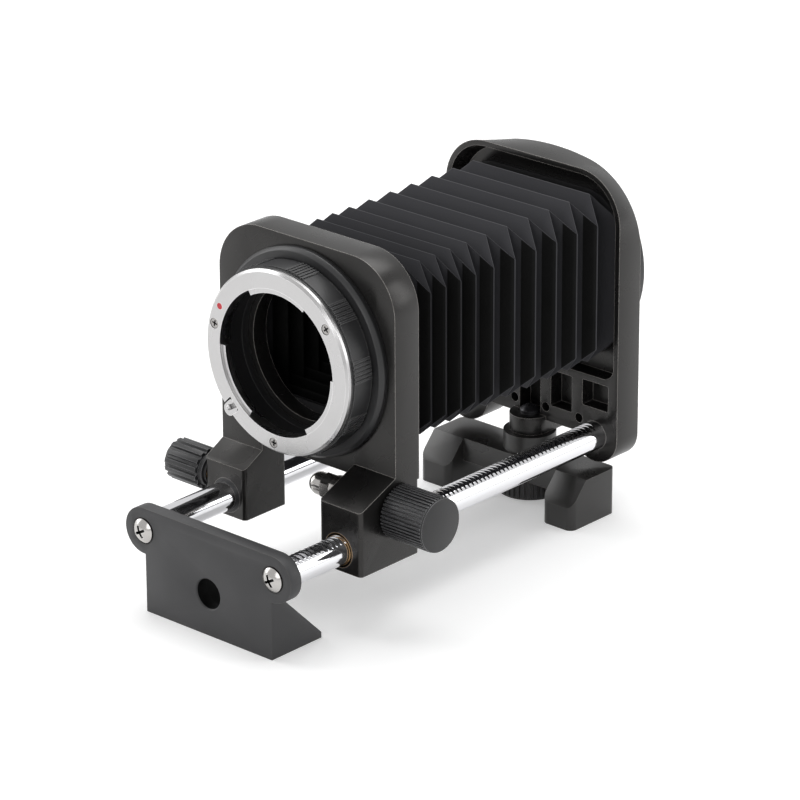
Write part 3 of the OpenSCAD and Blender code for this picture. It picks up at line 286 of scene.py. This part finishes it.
def rounded_copy(node, name, material, body, width, segments):
    """A copy of a CAD node with its sharp edges rounded, which stands for that node."""
    piece = bpy.data.objects.new(name, nodes[node].data.copy())
    bpy.context.scene.collection.objects.link(piece)
    bpy.context.view_layer.objects.active = piece
    piece.select_set(True)
    bpy.ops.mesh.customdata_custom_splitnormals_clear()
    bpy.ops.object.mode_set(mode="EDIT")
    bpy.ops.mesh.select_all(action="SELECT")
    bpy.ops.mesh.remove_doubles(threshold=WELD)
    bpy.ops.mesh.dissolve_limited(angle_limit=FLAT_ANGLE)
    bpy.ops.object.mode_set(mode="OBJECT")
    edge = piece.modifiers.new("edge", "BEVEL")
    edge.width, edge.segments = width, segments
    edge.limit_method, edge.angle_limit = "ANGLE", SHARP_ANGLE
    edge.use_clamp_overlap = True
    bpy.ops.object.modifier_apply(modifier="edge")
    bpy.ops.object.shade_smooth_by_angle(angle=SMOOTH_ANGLE)
    piece.data.materials.clear()
    piece.data.materials.append(material)
    piece.select_set(False)
    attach(piece, body)
    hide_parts(node)
    return piece


# The pale edge colour is a painted highlight along the rounded edges, speckled with a little wear.
casting_paint = finish(
    "casting_paint", (0.0112, 0.0108, 0.0106), (0.40, 0.38, 0.36), (0.22, 0.34), bump=0.12, gain=11.0,
    specular=0.40)
shader = casting_paint.node_tree.nodes["Principled BSDF"]
shader.inputs["Specular Tint"].default_value = (1.0, 0.975, 0.95, 1)
front_casting = rounded_copy(
    "front_standard", "front_casting", casting_paint, "carriage",
    width=CASTING_EDGE, segments=3)
rear_casting = rounded_copy(
    "rear_standard", "rear_casting", casting_paint, "frame",
    width=CASTING_EDGE, segments=3)

# The upper corners are tighter than the solids': all through the front casting, and at the front
# edge of the rear one, which is rounded off towards its flange. The copies are drawn out to that,
# fully as far in as RIM and not at all past RIM_END. A crown of STRAIGHT is a flat top.
STRAIGHT = 100.0
FRONT_SOLID_RADIUS, FRONT_RADIUS = 0.020, 0.0175
REAR_SOLID_RADIUS, REAR_SOLID_CROWN = 0.027, 0.085
REAR_RADIUS, REAR_TOP, REAR_THICKNESS = 0.017, 0.0368, 0.0108
RIM, RIM_END = 0.0045, 0.007
TINY = 1e-6


def to_outline(across, up_z, inset, corner_x, corner_z, half, top, radius):
    """The point where a ray from the solid's corner centre meets the real outline, moved inwards."""
    steer = Vector((across - corner_x, up_z - corner_z)).normalized()
    reach = (half - inset - corner_x) / max(steer.x, TINY)
    if corner_z + reach * steer.y > top - radius:
        reach = (top - inset - corner_z) / max(steer.y, TINY)
        if corner_x + reach * steer.x > half - radius:
            away = Vector((corner_x - half + radius, corner_z - top + radius))
            along = away.dot(steer)
            reach = -along + math.sqrt(along * along - away.length_squared + (radius - inset) ** 2)
    return corner_x + reach * steer.x, corner_z + reach * steer.y


def draw_out(piece, high, solid_radius, crown, top, radius, fade=0.0):
    """Moves the rim at the top from the solid's outline to the real one, less within a fade of the back."""
    corner_x = high.x - solid_radius
    corner_z = high.z - crown + math.sqrt((crown - solid_radius) ** 2 - corner_x ** 2)
    arch = math.atan2(corner_z - high.z + crown, corner_x)
    for vertex in piece.data.vertices:
        across, y, up_z = abs(vertex.co.x), vertex.co.y, vertex.co.z
        if up_z <= corner_z:
            continue
        in_corner = across > corner_x and math.atan2(up_z - corner_z, across - corner_x) <= arch
        if in_corner:
            inset = solid_radius - math.hypot(across - corner_x, up_z - corner_z)
        else:
            inset = crown - math.hypot(across, up_z - high.z + crown)
        if inset > RIM_END:
            continue
        goal = (across, top - inset)
        if in_corner:
            goal = to_outline(across, up_z, inset, corner_x, corner_z, high.x, top, radius)
        pull = min(1.0, max(0.0, (RIM_END - inset) / (RIM_END - RIM)))
        if fade:
            pull *= min(1.0, max(0.0, (high.y - y) / fade))
        vertex.co.x = math.copysign(across + pull * (goal[0] - across), vertex.co.x)
        vertex.co.z = up_z + pull * (goal[1] - up_z)


front_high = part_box("front_standard")[1]
draw_out(front_casting, front_high, FRONT_SOLID_RADIUS, STRAIGHT, front_high.z, FRONT_RADIUS)
rear_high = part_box("rear_standard")[1]
draw_out(rear_casting, rear_high, REAR_SOLID_RADIUS, REAR_SOLID_CROWN, REAR_TOP, REAR_RADIUS,
         fade=REAR_THICKNESS)

# ---------------------------------------------------------------- end plate and foot
# The end plate and the foot are milled from aluminium and anodised black, with thin brighter
# edges. The plate is blasted first, which leaves a fine dull grain; the foot is smoother.
anodised = finish(
    "black_anodised", (0.032, 0.032, 0.034), (0.11, 0.10, 0.09), (0.42, 0.55), scale=6500.0, bump=0.25)
plate = rounded_copy(
    "end_plate", "end_plate_body", anodised, "frame", width=0.00025, segments=2)

# The wall of the hole gets painted shade, near black, darker than the faces, which are told apart by how
# far they face forwards.
HOLE_AXIS_Z, HOLE_REACH, HOLE_MOUTH, WALL_FACING = -0.0678, 0.0077, 0.0006, 0.5
bore_shade = finish(
    "bore_shade", (0.002, 0.002, 0.002), (0.01, 0.01, 0.01), (0.6, 0.7), bump=0.05, specular=0.1)
plate.data.materials.append(bore_shade)
mouth_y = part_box("end_plate")[0].y + HOLE_MOUTH
for face in plate.data.polygons:
    off_axis = math.hypot(face.center.x, face.center.z - HOLE_AXIS_Z)
    if face.center.y > mouth_y and off_axis < HOLE_REACH and abs(face.normal.y) < WALL_FACING:
        face.material_index = 1
foot_finish = finish(
    "foot_anodised", (0.019, 0.018, 0.017), (0.14, 0.13, 0.12), (0.26, 0.36), scale=5000.0, bump=0.06)
rounded_copy("tripod_foot", "foot_body", foot_finish, "foot", width=0.0005, segments=3)
dress(anodised, "locking_disc", "camera_flange")

# ---------------------------------------------------------------- rails
# Both rails are ground steel bars with bright chrome plating. The right one has a rack milled
# into its top. They are held by large domed screws at the front and dark ones at the rear.
chrome = finish(
    "rail_chrome", (0.80, 0.80, 0.82), (0.9, 0.9, 0.92), (0.05, 0.11), metallic=1.0, scale=1500.0,
    bump=0.02)
dress(chrome, "plain_rail", "rack_rail")
nickel = finish(
    "bright_nickel", (0.47, 0.455, 0.44), (0.80, 0.79, 0.77), (0.12, 0.22), metallic=1.0, scale=1800.0,
    bump=0.05, radius=0.0003, gain=7.0)

# Painted shade in a cross recess: dark below a depth, and only within reach of a screw's axis at either
# side.
recess_shade, given, result = new_group(
    "painted_recess_shade",
    [("From", "NodeSocketFloat", 0.0), ("To", "NodeSocketFloat", 0.001),
     ("Axis X", "NodeSocketFloat", 0.0), ("Axis Z", "NodeSocketFloat", 0.0),
     ("Reach", "NodeSocketFloat", 1.0)], ["Mask"])
place = recess_shade.nodes.new("ShaderNodeTexCoord")
split = recess_shade.nodes.new("ShaderNodeSeparateXYZ")
deep = recess_shade.nodes.new("ShaderNodeMapRange")
either = recess_shade.nodes.new("ShaderNodeMath")
either.operation = "ABSOLUTE"
offset = recess_shade.nodes.new("ShaderNodeCombineXYZ")
recess_shade.links.new(place.outputs["Object"], split.inputs[0])
recess_shade.links.new(split.outputs["X"], either.inputs[0])
for value, centre, target in ((either.outputs[0], "Axis X", "X"), (split.outputs["Z"], "Axis Z", "Z")):
    apart = recess_shade.nodes.new("ShaderNodeMath")
    apart.operation = "SUBTRACT"
    recess_shade.links.new(value, apart.inputs[0])
    recess_shade.links.new(given.outputs[centre], apart.inputs[1])
    recess_shade.links.new(apart.outputs[0], offset.inputs[target])
away = recess_shade.nodes.new("ShaderNodeVectorMath")
away.operation = "LENGTH"
near = recess_shade.nodes.new("ShaderNodeMath")
near.operation = "LESS_THAN"
masked = recess_shade.nodes.new("ShaderNodeMath")
masked.operation = "MULTIPLY"
recess_shade.links.new(split.outputs["Y"], deep.inputs["Value"])
recess_shade.links.new(given.outputs["From"], deep.inputs["From Min"])
recess_shade.links.new(given.outputs["To"], deep.inputs["From Max"])
recess_shade.links.new(offset.outputs[0], away.inputs[0])
recess_shade.links.new(away.outputs["Value"], near.inputs[0])
recess_shade.links.new(given.outputs["Reach"], near.inputs[1])
recess_shade.links.new(deep.outputs["Result"], masked.inputs[0])
recess_shade.links.new(near.outputs[0], masked.inputs[1])
recess_shade.links.new(masked.outputs[0], result.inputs["Mask"])


def paint_recess_shade(material, node, start, end, axis_x=0.0, axis_z=0.0, reach=1.0):
    """Paints shade into a screw finish between two depths below the heads of a node."""
    head_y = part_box(node)[0].y
    tree = material.node_tree
    marks = tree.nodes.new("ShaderNodeGroup")
    marks.node_tree = recess_shade
    marks.inputs["From"].default_value = head_y + start
    marks.inputs["To"].default_value = head_y + end
    marks.inputs["Axis X"].default_value = axis_x
    marks.inputs["Axis Z"].default_value = axis_z
    marks.inputs["Reach"].default_value = reach
    shaded = tree.nodes.new("ShaderNodeMix")
    shaded.data_type = "RGBA"
    shaded.inputs["B"].default_value = (0.01, 0.01, 0.01, 1)
    tree.links.new(marks.outputs["Mask"], shaded.inputs["Factor"])
    tree.links.new(tree.nodes["tint"].outputs["Result"], shaded.inputs["A"])
    tree.links.new(shaded.outputs["Result"], tree.nodes["Principled BSDF"].inputs["Base Color"])
    dress(material, node)


low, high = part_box("plain_rail")
rail_x, rail_z = -(low.x + high.x) / 2, (low.z + high.z) / 2
# The end plate screws have painted shade deep in their cross recesses.
head_nickel = nickel.copy()
head_nickel.name = "head_nickel"
paint_recess_shade(head_nickel, "end_plate_screws", start=0.00055, end=0.0009, axis_x=rail_x, axis_z=rail_z,
     reach=0.00225)
dark_steel = finish(
    "blackened_steel", (0.05, 0.05, 0.055), (0.22, 0.22, 0.23), (0.28, 0.4), metallic=0.6, bump=0.08)
dress(dark_steel, "rear_rail_screws", "camera_ring_screws", "post_screw")

# ---------------------------------------------------------------- lens mount
# A black flange and a collar with groups of ribs carry the bayonet ring, which is brass with a
# satin chrome face and bright bevels. Three small screws, a red dot and the lock pin are on it.
# Its pale edge colour is a painted highlight along the rims.
mount_black = finish(
    "mount_black", (0.015, 0.015, 0.016), (0.22, 0.22, 0.22), (0.34, 0.46), scale=5000.0, bump=0.10,
    radius=0.0003, gain=7.0)
rounded_copy(
    "lens_flange", "lens_flange_body", mount_black, "carriage",
    width=0.0002, segments=2)
dress(mount_black, "ribbed_collar")

# Turning lines: a fine height that changes only with the distance from an axis, and that distance.
turning, given, result = new_group(
    "turning_lines",
    [("Across", "NodeSocketVector", (1.0, 0.0, 1.0)), ("Centre", "NodeSocketVector", (0.0, 0.0, 0.0)),
     ("Scale", "NodeSocketFloat", 6000.0)], ["Height", "Radius"])
place = turning.nodes.new("ShaderNodeTexCoord")
offset = turning.nodes.new("ShaderNodeVectorMath")
offset.operation = "SUBTRACT"
flat = turning.nodes.new("ShaderNodeVectorMath")
flat.operation = "MULTIPLY"
reach = turning.nodes.new("ShaderNodeVectorMath")
reach.operation = "LENGTH"
lines = turning.nodes.new("ShaderNodeTexNoise")
lines.noise_dimensions = "1D"
lines.inputs["Detail"].default_value = 2.0
turning.links.new(place.outputs["Object"], offset.inputs[0])
turning.links.new(given.outputs["Centre"], offset.inputs[1])
turning.links.new(offset.outputs[0], flat.inputs[0])
turning.links.new(given.outputs["Across"], flat.inputs[1])
turning.links.new(flat.outputs[0], reach.inputs[0])
turning.links.new(reach.outputs["Value"], lines.inputs["W"])
turning.links.new(given.outputs["Scale"], lines.inputs["Scale"])
turning.links.new(lines.outputs["Fac"], result.inputs["Height"])
turning.links.new(reach.outputs["Value"], result.inputs["Radius"])

satin_chrome = finish(
    "satin_chrome", (0.50, 0.495, 0.495), (0.95, 0.95, 0.95), (0.22, 0.32), metallic=1.0, bump=0.06,
    radius=0.0003, gain=8.0)
tree = satin_chrome.node_tree
marks = tree.nodes.new("ShaderNodeGroup")
marks.node_tree = turning
tree.links.new(marks.outputs["Height"], tree.nodes["relief"].inputs["Height"])
dress(satin_chrome, "bayonet_ring", "camera_bayonet", "lens_lock")
steel = finish("turned_steel", (0.46, 0.46, 0.47), (0.7, 0.7, 0.7), (0.22, 0.32), metallic=1.0, bump=0.05)
dress(steel, "pinion_shaft", "clamp_screw", "post_stem")

# The ring screws are of plain steel, with painted shade at their edges and deep in their cross recesses.
screw_steel = finish(
    "screw_steel", (0.34, 0.33, 0.32), (0.02, 0.02, 0.02), (0.2, 0.3), metallic=1.0, radius=0.0003,
    gain=9.0)
paint_recess_shade(screw_steel, "bayonet_screws", start=0.00015, end=0.00035)
red = finish("red_enamel", (0.60, 0.015, 0.03), (0.7, 0.05, 0.06), (0.22, 0.3), scale=900.0, bump=0.03)
dress(red, "index_dot")

# ---------------------------------------------------------------- guide bushes and bearings
# The guide blocks run on turned bushes: brass on the rack side, black plastic on the other. The
# shaft and the clamp screw turn in small brass bearings.
brass = finish("bearing_brass", (0.42, 0.25, 0.10), (0.6, 0.4, 0.2), (0.26, 0.38), metallic=1.0)
dress(brass, "outer_bearing", "clamp_insert")

# The brass bushes have an oiled groove in their faces, between two rims of bright brass.
BUSH_COLOUR = (0.40, 0.24, 0.11)
GROOVE_INNER, GROOVE_OUTER, RAMP_REACH = 0.0050, 0.0056, 0.010
bush_brass = finish("bush_brass", BUSH_COLOUR, (0.6, 0.4, 0.2), (0.26, 0.38), metallic=1.0)
tree = bush_brass.node_tree
rings = tree.nodes.new("ShaderNodeGroup")
rings.node_tree = turning
rings.inputs["Centre"].default_value = (rail_x, 0, rail_z)
groove = tree.nodes.new("ShaderNodeValToRGB")
groove.color_ramp.interpolation = "CONSTANT"
inner_rim, outer_rim = groove.color_ramp.elements
inner_rim.color = (*BUSH_COLOUR, 1)
outer_rim.color = (*BUSH_COLOUR, 1)
outer_rim.position = GROOVE_OUTER / RAMP_REACH
oiled = groove.color_ramp.elements.new(GROOVE_INNER / RAMP_REACH)
oiled.color = (0.012, 0.010, 0.008, 1)
across = tree.nodes.new("ShaderNodeMapRange")
across.inputs["From Max"].default_value = RAMP_REACH
tree.links.new(rings.outputs["Radius"], across.inputs["Value"])
tree.links.new(across.outputs["Result"], groove.inputs["Fac"])
tree.links.new(groove.outputs["Color"], tree.nodes["tint"].inputs["A"])
dress(bush_brass, "brass_bushes")
plastic = finish(
    "black_plastic", (0.018, 0.018, 0.019), (0.04, 0.04, 0.04), (0.42, 0.54), scale=3000.0, bump=0.14)
dress(plastic, "black_bushes", "focus_collar", "clamp_collar")

# ---------------------------------------------------------------- focus drive
# A nickel-plated sleeve and a domed nut close the shaft on the inside. On the outside sits a knob
# of black plastic, moulded with forty-four flutes and a plain end.
dress(nickel, "bearing_sleeve", "thrust_washer", "cap_nut")
# The pale edge colour is a painted highlight along the flutes and ribs of both knobs.
knob_plastic = finish(
    "knob_plastic", (0.012, 0.012, 0.013), (0.26, 0.26, 0.27), (0.38, 0.48), scale=3000.0, bump=0.12,
    radius=0.0003, gain=12.0)
rounded_copy(
    "focus_knob", "focus_grip", knob_plastic, "focus_drive", width=0.00018, segments=2)

# ---------------------------------------------------------------- clamp
# The knob on the left has fourteen coarse ribs. Its screw pushes a nylon plug on to the rail.
rounded_copy(
    "clamp_knob", "clamp_grip", knob_plastic, "clamp", width=0.0002, segments=2)
nylon = finish("natural_nylon", (0.74, 0.73, 0.68), (0.8, 0.79, 0.75), (0.4, 0.5), scale=900.0, bump=0.05)
dress(nylon, "clamp_plug")

# ---------------------------------------------------------------- bellows
# Coated black cloth on card stiffeners, folded into twelve pleats whose creases run zigzag down
# each corner. The front six are still drawn together. Its ends are glued under sheet frames.
sheet_black = finish("black_sheet", (0.010, 0.010, 0.011), (0.03, 0.03, 0.03), (0.5, 0.6), bump=0.1)
dress(sheet_black, "front_bellows_frame", "rear_bellows_frame")

TIGHT_PLEATS, OPEN_PLEATS, OPEN_RATIO = 6, 6, 1.44
FOLD_DEPTH = 0.008
REAR_DRAW_IN = 0.0008
PANEL, FOLD_SHARE = 0.0003, 0.08
CREST = (0.972, 0.988)
CREASE_ANGLE = math.radians(25)
low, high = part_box("bellows")
fold_x, fold_z = high.x, high.z
pleats = TIGHT_PLEATS + OPEN_PLEATS
shares = [1.0] * (TIGHT_PLEATS - 1) + [(1 + OPEN_RATIO) / 2] + [OPEN_RATIO] * OPEN_PLEATS
edges = [low.y + (high.y - low.y) * sum(shares[:k]) / sum(shares) for k in range(pleats + 1)]
stations = []
for k in range(pleats):
    stations.append((edges[k], fold_x, fold_z - FOLD_DEPTH))
    stations.append(((edges[k] + edges[k + 1]) / 2, fold_x - FOLD_DEPTH, fold_z))
stations.append((edges[pleats], fold_x - REAR_DRAW_IN, fold_z - FOLD_DEPTH))


def between(a, b):
    return tuple((p + q) / 2 for p, q in zip(a, b))


# Each piece is one pleat, cut in the middle of a flat panel so that every crease is whole.
runs = []
for k in range(pleats):
    run = [stations[2 * k], stations[2 * k + 1], between(stations[2 * k + 1], stations[2 * k + 2])]
    if k:
        run.insert(0, between(stations[2 * k - 1], stations[2 * k]))
    if k == pleats - 1:
        run.append(stations[2 * pleats])
    runs.append(run)

cloth = bpy.data.materials.new("bellows_cloth")
cloth.use_nodes = True
tree = cloth.node_tree
shader = tree.nodes["Principled BSDF"]
shader.inputs["Specular IOR Level"].default_value = 0.10
shader.inputs["Sheen Weight"].default_value = 0.06
shader.inputs["Sheen Roughness"].default_value = 0.5
# How far out a point lies between valley and ridge, on the side and on top. The two add up to 1 along every
# ridge and every zigzag corner crease. A ramp on it paints shade into the valleys and a lighter tone
# towards the ridges, and a pale painted highlight runs along every ridge and crease.
place = tree.nodes.new("ShaderNodeTexCoord")
split = tree.nodes.new("ShaderNodeSeparateXYZ")
tree.links.new(place.outputs["Object"], split.inputs[0])
ridge = tree.nodes.new("ShaderNodeMath")
for slot, (axis, reach) in enumerate((("X", fold_x), ("Z", fold_z))):
    distance = tree.nodes.new("ShaderNodeMath")
    distance.operation = "ABSOLUTE"
    outward = tree.nodes.new("ShaderNodeMapRange")
    outward.inputs["From Min"].default_value = reach - FOLD_DEPTH
    outward.inputs["From Max"].default_value = reach
    tree.links.new(split.outputs[axis], distance.inputs[0])
    tree.links.new(distance.outputs[0], outward.inputs["Value"])
    tree.links.new(outward.outputs["Result"], ridge.inputs[slot])
crest = tree.nodes.new("ShaderNodeMapRange")
crest.inputs["From Min"].default_value, crest.inputs["From Max"].default_value = CREST
crest_highlight = tree.nodes.new("ShaderNodeMix")
crest_highlight.data_type = "RGBA"
crest_highlight.inputs["B"].default_value = (0.11, 0.11, 0.118, 1)
shade = tree.nodes.new("ShaderNodeValToRGB")
shade.color_ramp.elements[0].color = (0.009, 0.009, 0.010, 1)
shade.color_ramp.elements[1].color = (0.048, 0.048, 0.053, 1)
middle = shade.color_ramp.elements.new(0.35)
middle.color = (0.035, 0.035, 0.039, 1)
fine = tree.nodes.new("ShaderNodeGroup")
fine.node_tree = grain
fine.inputs["Scale"].default_value = 2600.0
dull = tree.nodes.new("ShaderNodeMapRange")
dull.inputs["To Min"].default_value, dull.inputs["To Max"].default_value = 0.62, 0.82
relief = tree.nodes.new("ShaderNodeBump")
relief.inputs["Strength"].default_value = 0.35
relief.inputs["Distance"].default_value = 0.0001
tree.links.new(ridge.outputs[0], shade.inputs["Fac"])
tree.links.new(ridge.outputs[0], crest.inputs["Value"])
tree.links.new(crest.outputs["Result"], crest_highlight.inputs["Factor"])
tree.links.new(shade.outputs["Color"], crest_highlight.inputs["A"])
tree.links.new(crest_highlight.outputs["Result"], shader.inputs["Base Color"])
tree.links.new(fine.outputs["Tone"], dull.inputs["Value"])
tree.links.new(dull.outputs["Result"], shader.inputs["Roughness"])
tree.links.new(fine.outputs["Height"], relief.inputs["Height"])
tree.links.new(relief.outputs["Normal"], shader.inputs["Normal"])
lining = finish(
    "bellows_lining", (0.004, 0.004, 0.004), (0.010, 0.010, 0.010), (0.7, 0.85), bump=0.2, specular=0.1)


for k, run in enumerate(runs):
    front_y, half_x, half_z = run[0]
    rear_y = run[-1][0]
    bpy.ops.mesh.primitive_plane_add(size=2, location=(0, 0, 0))
    piece = bpy.context.object
    piece.name = f"bellows_pleat_{k:02d}"
    bpy.ops.object.mode_set(mode="EDIT")
    bpy.ops.mesh.select_all(action="SELECT")
    bpy.ops.transform.rotate(value=math.pi / 2, orient_axis="X", center_override=(0, 0, 0))
    bpy.ops.transform.resize(value=(half_x, 1, half_z), center_override=(0, 0, 0))
    bpy.ops.transform.translate(value=(0, front_y, 0))
    bpy.ops.mesh.delete(type="ONLY_FACE")
    bpy.ops.mesh.select_all(action="SELECT")
    for (y_a, x_a, z_a), (y_b, x_b, z_b) in zip(run, run[1:]):
        bpy.ops.mesh.extrude_edges_move(TRANSFORM_OT_translate={"value": (0, y_b - y_a, 0)})
        bpy.ops.transform.resize(value=(x_b / x_a, 1, z_b / z_a), center_override=(0, y_b, 0))
    bpy.ops.mesh.select_all(action="SELECT")
    bpy.ops.mesh.normals_make_consistent(inside=False)
    bpy.ops.object.mode_set(mode="OBJECT")
    piece.data.materials.append(cloth)
    piece.data.materials.append(lining)
    wall = piece.modifiers.new("wall", "SOLIDIFY")
    wall.thickness, wall.offset = PANEL, -1
    wall.material_offset = 1
    # The card stops short of the folds, where the wall is cloth alone.
    card = piece.vertex_groups.new(name="card")
    cuts = [v.index for v in piece.data.vertices
            if min(abs(v.co.y - front_y), abs(v.co.y - rear_y)) < TINY]
    card.add(cuts, 1.0, "REPLACE")
    wall.vertex_group, wall.thickness_vertex_group = card.name, FOLD_SHARE
    bpy.ops.object.modifier_apply(modifier="wall")
    bpy.ops.object.shade_smooth_by_angle(angle=CREASE_ANGLE)
    piece.select_set(False)

    for station in (front_y, rear_y):
        if station == low.y:
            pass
        elif station == high.y:
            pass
        else:
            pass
    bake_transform(piece)
    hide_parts("bellows")
